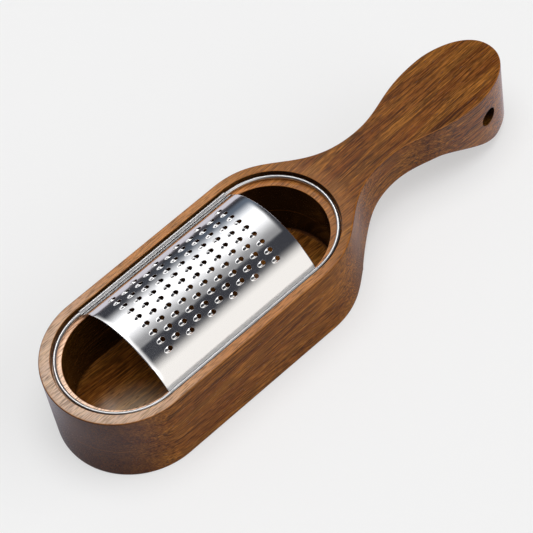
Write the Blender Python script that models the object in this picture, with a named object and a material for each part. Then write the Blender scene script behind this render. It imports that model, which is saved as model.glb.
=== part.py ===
"""A wooden box grater with a handle: two glued boards with a collecting hollow milled into them,
and a steel insert, an arched rasp plate hemmed round a loop of wire, that lifts out of its rabbet.
The box's near end points to -X, the handle to +X, and the underside rests at Z = 0.
The origin is on the underside, at the middle of the whole length."""
import math

import bmesh
import bpy
from mathutils import Matrix, Vector

MM = 0.001

# Wooden body, seen from above: a round near end, straight sides, then the shoulders of the handle
BODY_WIDTH = 90.0 * MM
BODY_STRAIGHT = 107.7 * MM
BODY_HEIGHT = 52.2 * MM
GLUE_LINE_HEIGHT = 25.0 * MM
GLUE_LINE_GAP = 0.3 * MM
EDGE_ROUND = 0.8 * MM

# Handle, measured along X from the shoulder line where the sides stop being straight
NECK_REACH = 78.5 * MM
PALM_REACH = 60.4 * MM
TIP_REACH = 35.4 * MM
NECK_WIDTH = 27.0 * MM
PALM_WIDTH = 48.4 * MM
SHOULDER_SHARES = (0.47, 0.52)
FLARE_SHARES = (0.37, 0.52)
TIP_SHARES = (0.32, 0.74)

# Finger scoop, cut across both boards under the handle
SCOOP_FROM_SHOULDER = 39.0 * MM
SCOOP_CLIMB_REACH = 70.4 * MM
SCOOP_FALL_REACH = 45.6 * MM
SCOOP_HEIGHT = 28.1 * MM
HEEL_CLEARANCE = 7.2 * MM
SCOOP_ENTRY_SHARES = (0.38, 0.57)
SCOOP_CROWN_SHARES = (0.84, 0.25)
SCOOP_EXIT_SHARES = (0.24, 0.02)

# Hanging hole, drilled across the palm end of the handle
HANGING_HOLE_DIAMETER = 11.4 * MM
HANGING_HOLE_FROM_TIP = 26.8 * MM
HANGING_HOLE_HEIGHT = 31.7 * MM

# Rabbet that seats the insert, and the collecting hollow inside it
RIM_WIDTH = 5.75 * MM
END_RIM_WIDTH = 6.7 * MM
RABBET_DEPTH = 4.57 * MM
RABBET_STRAIGHT = 109.0 * MM
LEDGE_WIDTH = 5.2 * MM
NEAR_LEDGE_EXTRA = 0.6 * MM
FAR_LEDGE_EXTRA = 2.3 * MM
FLOOR_THICKNESS = 7.0 * MM

# Steel insert
WIRE_DIAMETER = 2.2 * MM
SHEET_THICKNESS = 0.4 * MM
HEM_GAP = 0.2 * MM
HEM_TURN = math.radians(242)
SEAT_GAP = 0.3 * MM
SIDE_CLEARANCE = 0.3 * MM
ARCH_RISE = 19.4 * MM
PLATE_LENGTH = 108.0 * MM
PLATE_FROM_BEND = 1.0 * MM

# Teeth: a hole pierced through the top of a mound that tails off on its near side, in staggered rows
TOOTH_HOLE_DIAMETER = 2.6 * MM
MOUND_TAIL_REACH = 3.55 * MM
MOUND_FRONT_REACH = 2.3 * MM
MOUND_CREST_BEHIND = 0.9 * MM
MOUND_WIDTH = 3.6 * MM
MOUND_HEIGHT = 0.95 * MM
MOUND_CROWN_SHARE = 0.2
MOUND_TAIL_POWER = 1.8
MOUND_FRONT_POWER = 1.2
MOUND_FLANK_POWER = 2.4
TOOTH_LAND = 1.95 * MM
ROW_LAND = 1.28 * MM
PLATE_END_MARGIN = 10.5 * MM
PLATE_SIDE_MARGIN = 13.5 * MM

# How finely round stretches are divided, and how far cutters overrun what they cut
END_STEPS = 14
BEZIER_STEPS = 12
BEVEL_STEPS = 2
HEM_STEPS = 11
FOOT_STEPS = 4
LOOP_STEPS = 20
TOOTH_SIDES = 8
MOUND_STEPS = 2
WIRE_BEVEL_RESOLUTION = 2
CUT_OVERRUN = 5.0 * MM

# Places along X that follow from the sizes above
BODY_RADIUS = BODY_WIDTH / 2
TOTAL_LENGTH = BODY_RADIUS + BODY_STRAIGHT + NECK_REACH + PALM_REACH + TIP_REACH
NEAR_CENTRE_X = BODY_RADIUS - TOTAL_LENGTH / 2
SHOULDER_X = NEAR_CENTRE_X + BODY_STRAIGHT
NECK_X = SHOULDER_X + NECK_REACH
PALM_X = NECK_X + PALM_REACH
TIP_X = PALM_X + TIP_REACH
SCOOP_START_X = SHOULDER_X + SCOOP_FROM_SHOULDER
SCOOP_PEAK_X = SCOOP_START_X + SCOOP_CLIMB_REACH
SCOOP_END_X = SCOOP_PEAK_X + SCOOP_FALL_REACH

# Rabbet and hollow, both stadiums: a radius and the two X places of their round ends' centres
RABBET_RADIUS = BODY_RADIUS - RIM_WIDTH
RABBET_NEAR_X = NEAR_CENTRE_X + END_RIM_WIDTH - RIM_WIDTH
RABBET_FAR_X = RABBET_NEAR_X + RABBET_STRAIGHT
LEDGE_HEIGHT = BODY_HEIGHT - RABBET_DEPTH
HOLLOW_RADIUS = RABBET_RADIUS - LEDGE_WIDTH
HOLLOW_NEAR_X = RABBET_NEAR_X + NEAR_LEDGE_EXTRA
HOLLOW_FAR_X = RABBET_FAR_X - FAR_LEDGE_EXTRA

# Section of the insert: the hem rolls round the wire, and the arch is tangent to both hems
HEM_INNER_RADIUS = WIRE_DIAMETER / 2 + HEM_GAP
HEM_OUTER_RADIUS = HEM_INNER_RADIUS + SHEET_THICKNESS
LOOP_RADIUS = RABBET_RADIUS - SIDE_CLEARANCE - HEM_OUTER_RADIUS
WIRE_HEIGHT = LEDGE_HEIGHT + SEAT_GAP + HEM_OUTER_RADIUS
ARCH_RADIUS = (ARCH_RISE ** 2 + LOOP_RADIUS ** 2 - HEM_INNER_RADIUS ** 2) / (2 * (HEM_INNER_RADIUS + ARCH_RISE))
ARCH_CENTRE_Z = WIRE_HEIGHT + ARCH_RISE - ARCH_RADIUS
ARCH_HALF_ANGLE = math.asin(LOOP_RADIUS / (ARCH_RADIUS + HEM_INNER_RADIUS))
PLATE_NEAR_X = RABBET_NEAR_X + PLATE_FROM_BEND

# Lattice of teeth: columns follow each other along X and every other one is shifted by a row
COLUMN_PITCH = MOUND_TAIL_REACH + MOUND_FRONT_REACH + TOOTH_LAND
ROW_PITCH = MOUND_WIDTH / 2 + ROW_LAND
COLUMNS_EACH_SIDE = math.floor((PLATE_LENGTH / 2 - PLATE_END_MARGIN - COLUMN_PITCH / 2) / COLUMN_PITCH)
ROWS_EACH_SIDE = math.floor((ARCH_RADIUS * ARCH_HALF_ANGLE - PLATE_SIDE_MARGIN - ROW_PITCH) / ROW_PITCH)

WALNUT = ((0.235, 0.105, 0.042, 1.0), 0.5, 0.0)
WALNUT_LOWER = ((0.26, 0.125, 0.055, 1.0), 0.5, 0.0)
STEEL_SHEET = ((0.72, 0.72, 0.73, 1.0), 0.18, 1.0)
STEEL_WIRE = ((0.66, 0.66, 0.67, 1.0), 0.25, 1.0)


def clear_scene():
    """Remove whatever objects the file opened with."""
    for thing in list(bpy.data.objects):
        bpy.data.objects.remove(thing, do_unlink=True)


def material(name, finish):
    """A Principled material from a colour, a roughness and a metallic value."""
    colour, roughness, metallic = finish
    made = bpy.data.materials.new(name)
    made.use_nodes = True
    shader = made.node_tree.nodes["Principled BSDF"]
    shader.inputs["Base Color"].default_value = colour
    shader.inputs["Roughness"].default_value = roughness
    shader.inputs["Metallic"].default_value = metallic
    return made


def empty(name, place):
    """A plain axes empty that carries the pieces of one body."""
    made = bpy.data.objects.new(name, None)
    made.location = place
    bpy.context.collection.objects.link(made)
    return made


def finish_object(name, data, parent, finish):
    """Link an object whose data is in world places, and hang it on its parent empty."""
    made = bpy.data.objects.new(name, data)
    bpy.context.collection.objects.link(made)
    data.materials.append(finish)
    made.parent = parent
    made.matrix_parent_inverse = parent.matrix_world.inverted()
    return made


def mesh_from(bm, name, sharp_angle):
    """Turn a bmesh into a mesh that is smooth except across its sharp edges."""
    mesh = bpy.data.meshes.new(name)
    bm.to_mesh(mesh)
    bm.free()
    mesh.shade_smooth()
    mesh.set_sharp_from_angle(angle=sharp_angle)
    return mesh


def bezier(start, leave, arrive, end, steps):
    """Points along a cubic Bezier curve, without its last one."""
    points = []
    for step in range(steps):
        t = step / steps
        s = 1 - t
        points.append(start * s ** 3 + leave * (3 * s * s * t) + arrive * (3 * s * t * t) + end * t ** 3)
    return points


def half_outline():
    """The body's outline from above on its +Y side, from the near end to the tip of the handle."""
    points = [Vector((NEAR_CENTRE_X - BODY_RADIUS, 0))]
    for step in range(1, END_STEPS + 1):
        angle = math.pi * (1 - step / (2 * END_STEPS))
        points.append(Vector((NEAR_CENTRE_X + BODY_RADIUS * math.cos(angle), BODY_RADIUS * math.sin(angle))))
    shoulder = Vector((SHOULDER_X, BODY_RADIUS))
    neck = Vector((NECK_X, NECK_WIDTH / 2))
    palm = Vector((PALM_X, PALM_WIDTH / 2))
    tip = Vector((TIP_X, 0))
    leave, arrive = SHOULDER_SHARES
    points += bezier(shoulder, shoulder + Vector((leave * NECK_REACH, 0)),
                     neck - Vector((arrive * NECK_REACH, 0)), neck, BEZIER_STEPS)
    leave, arrive = FLARE_SHARES
    points += bezier(neck, neck + Vector((leave * PALM_REACH, 0)),
                     palm - Vector((arrive * PALM_REACH, 0)), palm, BEZIER_STEPS)
    leave, arrive = TIP_SHARES
    points += bezier(palm, palm + Vector((leave * TIP_REACH, 0)),
                     tip + Vector((0, arrive * PALM_WIDTH / 2)), tip, BEZIER_STEPS)
    points.append(tip)
    return points


def closed(half):
    """A whole outline, counterclockwise from above, from its +Y half."""
    mirrored = [Vector((point.x, -point.y)) for point in half[:-1]]
    return mirrored + half[:0:-1]


def parted(half, cut_x):
    """The near and the far part of a half outline, cut off square at one place along X."""
    index = next(number for number, point in enumerate(half) if point.x > cut_x)
    before, after = half[index - 1], half[index]
    corner = before.lerp(after, (cut_x - before.x) / (after.x - before.x))
    middle = Vector((cut_x, 0))
    return half[:index] + [corner, middle], [middle, corner] + half[index:]


def stadium(radius, near_x, far_x, steps):
    """A closed stadium outline, counterclockwise from above."""
    points = []
    for centre_x, first_angle in ((far_x, -math.pi / 2), (near_x, math.pi / 2)):
        for step in range(steps + 1):
            angle = first_angle + math.pi * step / steps
            points.append(Vector((centre_x + radius * math.cos(angle), radius * math.sin(angle))))
    return points


def prism(outline, low_z, high_z):
    """A bmesh prism that stands on a counterclockwise outline."""
    bm = bmesh.new()
    base = bm.faces.new([bm.verts.new((point.x, point.y, low_z)) for point in outline])
    raised = bmesh.ops.extrude_face_region(bm, geom=[base])["geom"]
    lifted = [item for item in raised if isinstance(item, bmesh.types.BMVert)]
    bmesh.ops.translate(bm, verts=lifted, vec=(0, 0, high_z - low_z))
    bmesh.ops.recalc_face_normals(bm, faces=bm.faces)
    return bm


def round_rim(bm, height):
    """Round over the outer edges of a prism's cap at one height."""
    edges = [edge for edge in bm.edges if all(abs(vert.co.z - height) < EDGE_ROUND / 4 for vert in edge.verts)]
    bmesh.ops.bevel(bm, geom=edges, offset=EDGE_ROUND, segments=BEVEL_STEPS, profile=0.5,
                    affect="EDGES", material=-1)


def cutter(name, bm, parent, finish):
    """An object that only serves as a Boolean tool."""
    made = finish_object(name, mesh_from(bm, name, math.pi), parent, finish)
    made.hide_render = True
    made.display_type = "WIRE"
    return made


def cut(piece, tool):
    """Take a cutter's shape out of a piece."""
    modifier = piece.modifiers.new("cut_" + tool.name, "BOOLEAN")
    modifier.operation = "DIFFERENCE"
    modifier.object = tool


def scoop_profile():
    """The side view of the finger scoop: up a ramp, over a long crown and down to the heel."""
    start = Vector((SCOOP_START_X, 0))
    peak = Vector((SCOOP_PEAK_X, SCOOP_HEIGHT))
    end = Vector((SCOOP_END_X, HEEL_CLEARANCE))
    along, up = SCOOP_ENTRY_SHARES
    leave = start + Vector((along * SCOOP_CLIMB_REACH, up * SCOOP_HEIGHT))
    before, after = SCOOP_CROWN_SHARES
    points = bezier(start, leave, peak - Vector((before * SCOOP_CLIMB_REACH, 0)), peak, BEZIER_STEPS)
    back, above = SCOOP_EXIT_SHARES
    arrive = end + Vector((-back * SCOOP_FALL_REACH, above * SCOOP_HEIGHT))
    points += bezier(peak, peak + Vector((after * SCOOP_FALL_REACH, 0)), arrive, end, BEZIER_STEPS)
    points.append(end)
    return points


def scoop_cutter_mesh():
    """The finger scoop as a solid that runs across the whole width of the body."""
    side = scoop_profile()
    below = -CUT_OVERRUN
    fall = CUT_OVERRUN + HEEL_CLEARANCE
    outline = [Vector((side[0].x, below))] + side + [Vector((side[-1].x + fall, below))]
    bm = bmesh.new()
    reach = BODY_RADIUS + CUT_OVERRUN
    base = bm.faces.new([bm.verts.new((point.x, -reach, point.y)) for point in outline])
    raised = bmesh.ops.extrude_face_region(bm, geom=[base])["geom"]
    moved = [item for item in raised if isinstance(item, bmesh.types.BMVert)]
    bmesh.ops.translate(bm, verts=moved, vec=(0, 2 * reach, 0))
    bmesh.ops.recalc_face_normals(bm, faces=bm.faces)
    return bm


def hanging_hole_mesh():
    """A drill through the palm of the handle, along Y."""
    bm = bmesh.new()
    bmesh.ops.create_cone(bm, cap_ends=True, segments=2 * END_STEPS, radius1=HANGING_HOLE_DIAMETER / 2,
                          radius2=HANGING_HOLE_DIAMETER / 2, depth=PALM_WIDTH + 2 * CUT_OVERRUN)
    bmesh.ops.rotate(bm, verts=bm.verts, matrix=Matrix.Rotation(math.pi / 2, 3, "X"))
    bmesh.ops.translate(bm, verts=bm.verts, vec=(TIP_X - HANGING_HOLE_FROM_TIP, 0, HANGING_HOLE_HEIGHT))
    return bm


def make_boards(parent):
    """The upper board, the lower board under the box and the lower board's stub under the palm."""
    upper_wood = material("walnut", WALNUT)
    lower_wood = material("walnut_lower", WALNUT_LOWER)
    rabbet = cutter("rabbet_cutter", prism(stadium(RABBET_RADIUS, RABBET_NEAR_X, RABBET_FAR_X, END_STEPS * 2),
                                           LEDGE_HEIGHT, BODY_HEIGHT + CUT_OVERRUN), parent, upper_wood)
    hollow = cutter("hollow_cutter", prism(stadium(HOLLOW_RADIUS, HOLLOW_NEAR_X, HOLLOW_FAR_X, END_STEPS * 2),
                                           FLOOR_THICKNESS, BODY_HEIGHT + CUT_OVERRUN), parent, upper_wood)
    scoop = cutter("scoop_cutter", scoop_cutter_mesh(), parent, upper_wood)
    drill = cutter("hanging_hole_cutter", hanging_hole_mesh(), parent, upper_wood)
    half = half_outline()
    near_half, far_half = parted(half, SCOOP_PEAK_X)

    bm = prism(closed(half), GLUE_LINE_HEIGHT + GLUE_LINE_GAP, BODY_HEIGHT)
    round_rim(bm, BODY_HEIGHT)
    upper = finish_object("upper_board", mesh_from(bm, "upper_board", math.radians(40)), parent, upper_wood)
    for tool in (rabbet, hollow, scoop, drill):
        cut(upper, tool)

    bm = prism(closed(near_half), 0, GLUE_LINE_HEIGHT)
    round_rim(bm, 0)
    base = finish_object("base_board", mesh_from(bm, "base_board", math.radians(40)), parent, lower_wood)
    for tool in (hollow, scoop):
        cut(base, tool)

    bm = prism(closed(far_half), HEEL_CLEARANCE, GLUE_LINE_HEIGHT)
    round_rim(bm, HEEL_CLEARANCE)
    heel = finish_object("handle_heel", mesh_from(bm, "handle_heel", math.radians(40)), parent, lower_wood)
    cut(heel, scoop)


def make_wire_loop(parent):
    """The loop of round wire that the insert hangs on, a stadium that lies in the rabbet."""
    curve = bpy.data.curves.new("wire_loop", "CURVE")
    curve.dimensions = "3D"
    curve.bevel_depth = WIRE_DIAMETER / 2
    curve.bevel_resolution = WIRE_BEVEL_RESOLUTION
    route = stadium(LOOP_RADIUS, RABBET_NEAR_X, RABBET_FAR_X, LOOP_STEPS)
    spline = curve.splines.new("POLY")
    spline.points.add(len(route) - 1)
    for point, place in zip(spline.points, route):
        point.co = (place.x, place.y, WIRE_HEIGHT, 1)
    spline.use_cyclic_u = True
    finish_object("wire_loop", curve, parent, material("steel_wire", STEEL_WIRE))


def on_arch(x, along, lift):
    """The world place of a point on the arch: its X, its arc length from the crown and its lift."""
    angle = along / ARCH_RADIUS
    reach = ARCH_RADIUS + lift
    return Vector((x, reach * math.sin(angle), ARCH_CENTRE_Z + reach * math.cos(angle)))


def mound_lift(ahead, across):
    """How far a place on a tooth's mound stands over the sheet: its ridge rises from the tail to a crest
    behind the hole's centre, and falls away in front."""
    back, front = max(-ahead, 0) / MOUND_TAIL_REACH, max(ahead, 0) / MOUND_FRONT_REACH
    half_width = MOUND_WIDTH / 2 * math.sqrt(1 - back ** MOUND_FLANK_POWER - front ** 2)
    fall = max(ahead + MOUND_CREST_BEHIND, 0) / (MOUND_FRONT_REACH + MOUND_CREST_BEHIND)
    ridge = MOUND_HEIGHT * (1 - back ** MOUND_TAIL_POWER) * (1 - fall ** MOUND_FRONT_POWER)
    crown = MOUND_CROWN_SHARE * (1 - back)
    return ridge * min((1 - abs(across) / half_width) / (1 - crown), 1)


def tooth_rings():
    """Rings from the foot of a tooth's mound to the lip of its hole: offsets along X, across, and their lift."""
    radius = TOOTH_HOLE_DIAMETER / 2
    foot, lip = [], []
    for side in range(TOOTH_SIDES):
        angle = 2 * math.pi * side / TOOTH_SIDES
        ahead, across = math.cos(angle), math.sin(angle)
        foot_ahead = MOUND_FRONT_REACH * ahead
        if ahead < 0:
            foot_ahead = -MOUND_TAIL_REACH * abs(ahead) ** (2 / MOUND_FLANK_POWER)
        foot.append(Vector((foot_ahead, across * MOUND_WIDTH / 2)))
        lip.append(Vector((radius * ahead, radius * across)))
    rings = [[(place.x, place.y, 0) for place in foot]]
    for step in range(1, MOUND_STEPS + 1):
        places = [outer.lerp(inner, step / MOUND_STEPS) for outer, inner in zip(foot, lip)]
        rings.append([(place.x, place.y, mound_lift(*place)) for place in places])
    return rings


def add_tooth(bm, vertex, hole_x, row):
    """One tooth in its own cell of the sheet, two rows high and one column long."""
    near_x = hole_x - MOUND_TAIL_REACH - TOOTH_LAND / 2
    far_x = near_x + COLUMN_PITCH
    low, middle, high = (row - 1) * ROW_PITCH, row * ROW_PITCH, (row + 1) * ROW_PITCH
    centre_x = near_x + COLUMN_PITCH / 2
    border = [(far_x, middle), (far_x, high), (centre_x, high), (near_x, high),
              (near_x, middle), (near_x, low), (centre_x, low), (far_x, low)]
    rings = [[vertex(x, along, 0) for x, along in border]]
    for offsets in tooth_rings():
        rings.append([vertex(hole_x + ahead, middle + across, lift) for ahead, across, lift in offsets])
    for outer, inner in zip(rings, rings[1:]):
        for side in range(TOOTH_SIDES):
            following = (side + 1) % TOOTH_SIDES
            bm.faces.new([outer[side], outer[following], inner[following], inner[side]])


def hem_section(side):
    """The hem's section in Y and Z: rolled under, round the outside and over the top of the wire."""
    points = []
    for step in range(1, HEM_STEPS + 1):
        angle = -math.pi / 2 - ARCH_HALF_ANGLE + HEM_TURN * step / HEM_STEPS
        points.append((side * (LOOP_RADIUS + HEM_INNER_RADIUS * math.cos(angle)),
                       WIRE_HEIGHT + HEM_INNER_RADIUS * math.sin(angle)))
    return points


def make_grater_plate(parent):
    """The rasp plate: one sheet, pierced into mounds, bent to an arch and hemmed along both sides."""
    bm = bmesh.new()
    made = {}

    def vertex(x, along, lift):
        key = (round(x / MM, 3), round(along / MM, 3), round(lift / MM, 3))
        if key not in made:
            made[key] = bm.verts.new(on_arch(x, along, lift))
        return made[key]

    plate_far_x = PLATE_NEAR_X + PLATE_LENGTH
    middle_x = PLATE_NEAR_X + PLATE_LENGTH / 2
    columns = range(-COLUMNS_EACH_SIDE, COLUMNS_EACH_SIDE + 1)
    shift = (COLUMNS_EACH_SIDE + ROWS_EACH_SIDE) % 2
    for column in columns:
        hole_x = middle_x + column * COLUMN_PITCH
        near_x = hole_x - MOUND_TAIL_REACH - TOOTH_LAND / 2
        xs = (near_x, near_x + COLUMN_PITCH / 2, near_x + COLUMN_PITCH)
        for row in range(-ROWS_EACH_SIDE, ROWS_EACH_SIDE + 1):
            if (column + row + shift) % 2 == 0:
                add_tooth(bm, vertex, hole_x, row)
        if (column + ROWS_EACH_SIDE + shift) % 2:
            for low_row in (-ROWS_EACH_SIDE - 1, ROWS_EACH_SIDE):
                low, high = low_row * ROW_PITCH, (low_row + 1) * ROW_PITCH
                bm.faces.new([vertex(x, low, 0) for x in xs] + [vertex(x, high, 0) for x in reversed(xs)])

    near_border = middle_x + columns[0] * COLUMN_PITCH - MOUND_TAIL_REACH - TOOTH_LAND / 2
    far_border = near_border + len(columns) * COLUMN_PITCH
    for row in range(-ROWS_EACH_SIDE - 1, ROWS_EACH_SIDE + 1):
        low, high = row * ROW_PITCH, (row + 1) * ROW_PITCH
        for left, right in ((PLATE_NEAR_X, near_border), (far_border, plate_far_x)):
            bm.faces.new([vertex(left, low, 0), vertex(right, low, 0), vertex(right, high, 0), vertex(left, high, 0)])

    pattern_edge = (ROWS_EACH_SIDE + 1) * ROW_PITCH
    arch_edge = ARCH_RADIUS * ARCH_HALF_ANGLE
    breaks = [PLATE_NEAR_X]
    for column in columns:
        start = near_border + (column - columns[0]) * COLUMN_PITCH
        breaks += [start, start + COLUMN_PITCH / 2]
    breaks += [far_border, plate_far_x]
    for side in (-1, 1):
        last = [vertex(x, side * pattern_edge, 0) for x in breaks]
        for step in range(1, FOOT_STEPS + 1):
            along = side * (pattern_edge + (arch_edge - pattern_edge) * step / FOOT_STEPS)
            following = [vertex(plate_far_x, along, 0), vertex(PLATE_NEAR_X, along, 0)]
            bm.faces.new((last + following)[::side])
            last = following[::-1]
        for y, z in hem_section(side):
            following = [bm.verts.new((plate_far_x, y, z)), bm.verts.new((PLATE_NEAR_X, y, z))]
            bm.faces.new((last + following)[::side])
            last = following[::-1]

    mesh = mesh_from(bm, "grater_plate", math.radians(50))
    plate = finish_object("grater_plate", mesh, parent, material("steel_sheet", STEEL_SHEET))
    sheet = plate.modifiers.new("sheet", "SOLIDIFY")
    sheet.thickness = SHEET_THICKNESS
    sheet.offset = -1
    sheet.use_even_offset = True
    sheet.use_rim = True


def make_grater():
    """The wooden box and, on its own empty over the middle of the rabbet, the insert."""
    clear_scene()
    box = empty("wooden_box", (0, 0, 0))
    insert = empty("grater_insert", ((RABBET_NEAR_X + RABBET_FAR_X) / 2, 0, LEDGE_HEIGHT))
    bpy.context.view_layer.update()
    make_boards(box)
    make_wire_loop(insert)
    make_grater_plate(insert)


make_grater()
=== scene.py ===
import math

import bmesh
import bpy
from mathutils import Matrix, Vector


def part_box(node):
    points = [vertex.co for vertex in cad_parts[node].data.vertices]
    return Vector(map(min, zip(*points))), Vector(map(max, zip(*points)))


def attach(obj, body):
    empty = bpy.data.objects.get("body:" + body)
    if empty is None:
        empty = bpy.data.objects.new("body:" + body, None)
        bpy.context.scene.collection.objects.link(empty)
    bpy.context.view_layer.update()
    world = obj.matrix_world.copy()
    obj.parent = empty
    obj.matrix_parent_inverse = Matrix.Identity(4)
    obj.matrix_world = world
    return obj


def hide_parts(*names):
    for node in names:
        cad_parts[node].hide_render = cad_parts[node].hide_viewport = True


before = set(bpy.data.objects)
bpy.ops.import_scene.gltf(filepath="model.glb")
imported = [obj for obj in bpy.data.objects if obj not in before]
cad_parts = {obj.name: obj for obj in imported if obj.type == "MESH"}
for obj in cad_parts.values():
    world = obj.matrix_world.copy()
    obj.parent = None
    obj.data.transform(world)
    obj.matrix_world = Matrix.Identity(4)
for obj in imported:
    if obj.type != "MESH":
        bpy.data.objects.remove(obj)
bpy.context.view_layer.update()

# Upper board. A walnut board runs through from the round near end to the tip of the handle.
# Its outline is sawn, the rabbet and the hollow are milled from above, the finger scoop and the
# hanging hole are cut through, and every edge is eased and oiled.
mm = 0.001
board_low, board_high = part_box("upper_board")
base_low, base_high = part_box("base_board")
seam_height = (base_high.z + board_low.z) / 2
seam_hairline = 0.01 * mm

body_radius = board_high.y
near_centre_x = board_low.x + body_radius
body_straight = 107.7 * mm
neck_reach = 78.5 * mm
palm_reach = 60.4 * mm
neck_width = 27.0 * mm
palm_width = 48.4 * mm
shoulder_x = near_centre_x + body_straight
neck_x = shoulder_x + neck_reach
palm_x = neck_x + palm_reach
tip_x = board_high.x
shoulder_shares = (0.47, 0.52)
flare_shares = (0.37, 0.52)
tip_shares = (0.32, 0.74)
bezier_steps = 44
round_steps = 56


def bezier(start, leave, arrive, end):
    """Points along a cubic curve, without its last one."""
    points = []
    for step in range(bezier_steps):
        t = step / bezier_steps
        s = 1 - t
        points.append(start * s ** 3 + leave * (3 * s * s * t) + arrive * (3 * s * t * t) + end * t ** 3)
    return points


def half_outline():
    """The sawn outline on its +Y side, from the near end to the tip."""
    points = [Vector((board_low.x, 0))]
    for step in range(1, round_steps):
        angle = math.pi * (1 - step / (2 * round_steps))
        turned = Vector((math.cos(angle), math.sin(angle)))
        points.append(Vector((near_centre_x, 0)) + body_radius * turned)
    points.append(Vector((near_centre_x, body_radius)))
    shoulder = Vector((shoulder_x, body_radius))
    neck = Vector((neck_x, neck_width / 2))
    palm = Vector((palm_x, palm_width / 2))
    tip = Vector((tip_x, 0))
    for start, end, reach, (leave, arrive) in ((shoulder, neck, neck_reach, shoulder_shares),
                                               (neck, palm, palm_reach, flare_shares)):
        points += bezier(start, start + Vector((leave * reach, 0)), end - Vector((arrive * reach, 0)), end)
    leave, arrive = tip_shares
    points += bezier(palm, palm + Vector((leave * (tip_x - palm_x), 0)),
                     tip + Vector((0, arrive * palm_width / 2)), tip)
    return points + [tip]


def board_blank(half, low_z, high_z):
    """A sawn board: the closed outline, drawn up to its thickness."""
    mirrored = [Vector((point.x, -point.y)) for point in half[:-1]]
    bm = bmesh.new()
    base = bm.faces.new([bm.verts.new((point.x, point.y, low_z)) for point in mirrored + half[:0:-1]])
    raised = bmesh.ops.extrude_face_region(bm, geom=[base])["geom"]
    bmesh.ops.translate(bm, verts=[item for item in raised if isinstance(item, bmesh.types.BMVert)],
                        vec=(0, 0, high_z - low_z))
    bmesh.ops.recalc_face_normals(bm, faces=bm.faces)
    return bm


# The milling: one cutter for the rabbet with its ledge and the hollow inside it, with the small
# fillets that a round-nosed bit leaves
rim_width = 5.75 * mm
end_rim_width = 6.7 * mm
rabbet_depth = 4.57 * mm
rabbet_straight = 109.0 * mm
ledge_width = 5.2 * mm
near_ledge_extra = 0.6 * mm
far_ledge_extra = 2.3 * mm
floor_thickness = 7.0 * mm
floor_fillet = 2.4 * mm
rabbet_fillet = 0.5 * mm
cut_overrun = 5.0 * mm
fillet_steps = 5
rabbet_radius = body_radius - rim_width
rabbet_near_x = near_centre_x + end_rim_width - rim_width
rabbet_far_x = rabbet_near_x + rabbet_straight
ledge_height = board_high.z - rabbet_depth
hollow_radius = rabbet_radius - ledge_width
hollow_near_x = rabbet_near_x + near_ledge_extra
hollow_far_x = rabbet_far_x - far_ledge_extra


def stadium_ring(bm, radius, near_x, far_x, height):
    """A closed ring of edges: a circle whose two halves are drawn apart along X."""
    ring = bmesh.ops.create_circle(bm, segments=4 * round_steps, radius=radius)["verts"]
    bmesh.ops.rotate(bm, verts=ring, matrix=Matrix.Rotation(math.pi / (4 * round_steps), 3, "Z"))
    for vert in ring:
        vert.co.x += far_x if vert.co.x > 0 else near_x
        vert.co.z = height
    return list({edge for vert in ring for edge in vert.link_edges})


def milling_cutter():
    """The shape of all that the mill takes out, lofted from stadium rings."""
    bm = bmesh.new()
    hollow = (hollow_near_x, hollow_far_x)
    rabbet = (rabbet_near_x, rabbet_far_x)
    rings = []
    for centres, radius, foot, fillet in ((hollow, hollow_radius, floor_thickness, floor_fillet),
                                          (rabbet, rabbet_radius, ledge_height, rabbet_fillet)):
        for step in range(fillet_steps + 1):
            angle = math.pi / 2 * step / fillet_steps
            rings.append(stadium_ring(bm, radius - fillet * (1 - math.sin(angle)), *centres,
                                      foot + fillet * (1 - math.cos(angle))))
        if centres == hollow:
            rings.append(stadium_ring(bm, radius, *centres, ledge_height))
    rings.append(stadium_ring(bm, rabbet_radius, *rabbet, board_high.z + cut_overrun))
    for lower, upper in zip(rings, rings[1:]):
        bmesh.ops.bridge_loops(bm, edges=lower + upper)
    for end in (rings[0], rings[-1]):
        bmesh.ops.contextual_create(bm, geom=end)
    bmesh.ops.recalc_face_normals(bm, faces=bm.faces)
    return bm


# The finger scoop under the handle and the drilled hanging hole
scoop_start_x = shoulder_x + 39.0 * mm
scoop_climb_reach = 70.4 * mm
scoop_fall_reach = 45.6 * mm
scoop_height = 28.1 * mm
heel_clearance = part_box("handle_heel")[0].z
scoop_entry_shares = (0.38, 0.57)
scoop_crown_shares = (0.84, 0.25)
scoop_exit_shares = (0.24, 0.02)
scoop_peak_x = scoop_start_x + scoop_climb_reach
scoop_end_x = scoop_peak_x + scoop_fall_reach
hole_radius = 5.7 * mm
hole_from_tip = 26.8 * mm
hole_height = 31.7 * mm


def scoop_cutter():
    """The finger scoop's side view, drawn across the whole width of the body."""
    start = Vector((scoop_start_x, 0))
    peak = Vector((scoop_peak_x, scoop_height))
    end = Vector((scoop_end_x, heel_clearance))
    along, up = scoop_entry_shares
    before, after = scoop_crown_shares
    back, above = scoop_exit_shares
    side = bezier(start, start + Vector((along * scoop_climb_reach, up * scoop_height)),
                  peak - Vector((before * scoop_climb_reach, 0)), peak)
    side += bezier(peak, peak + Vector((after * scoop_fall_reach, 0)),
                   end + Vector((-back * scoop_fall_reach, above * scoop_height)), end) + [end]
    fall = cut_overrun + heel_clearance
    outline = [Vector((start.x, -cut_overrun))] + side + [Vector((end.x + fall, -cut_overrun))]
    reach = body_radius + cut_overrun
    bm = bmesh.new()
    base = bm.faces.new([bm.verts.new((point.x, -reach, point.y)) for point in outline])
    raised = bmesh.ops.extrude_face_region(bm, geom=[base])["geom"]
    bmesh.ops.translate(bm, verts=[item for item in raised if isinstance(item, bmesh.types.BMVert)],
                        vec=(0, 2 * reach, 0))
    bmesh.ops.recalc_face_normals(bm, faces=bm.faces)
    return bm


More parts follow.
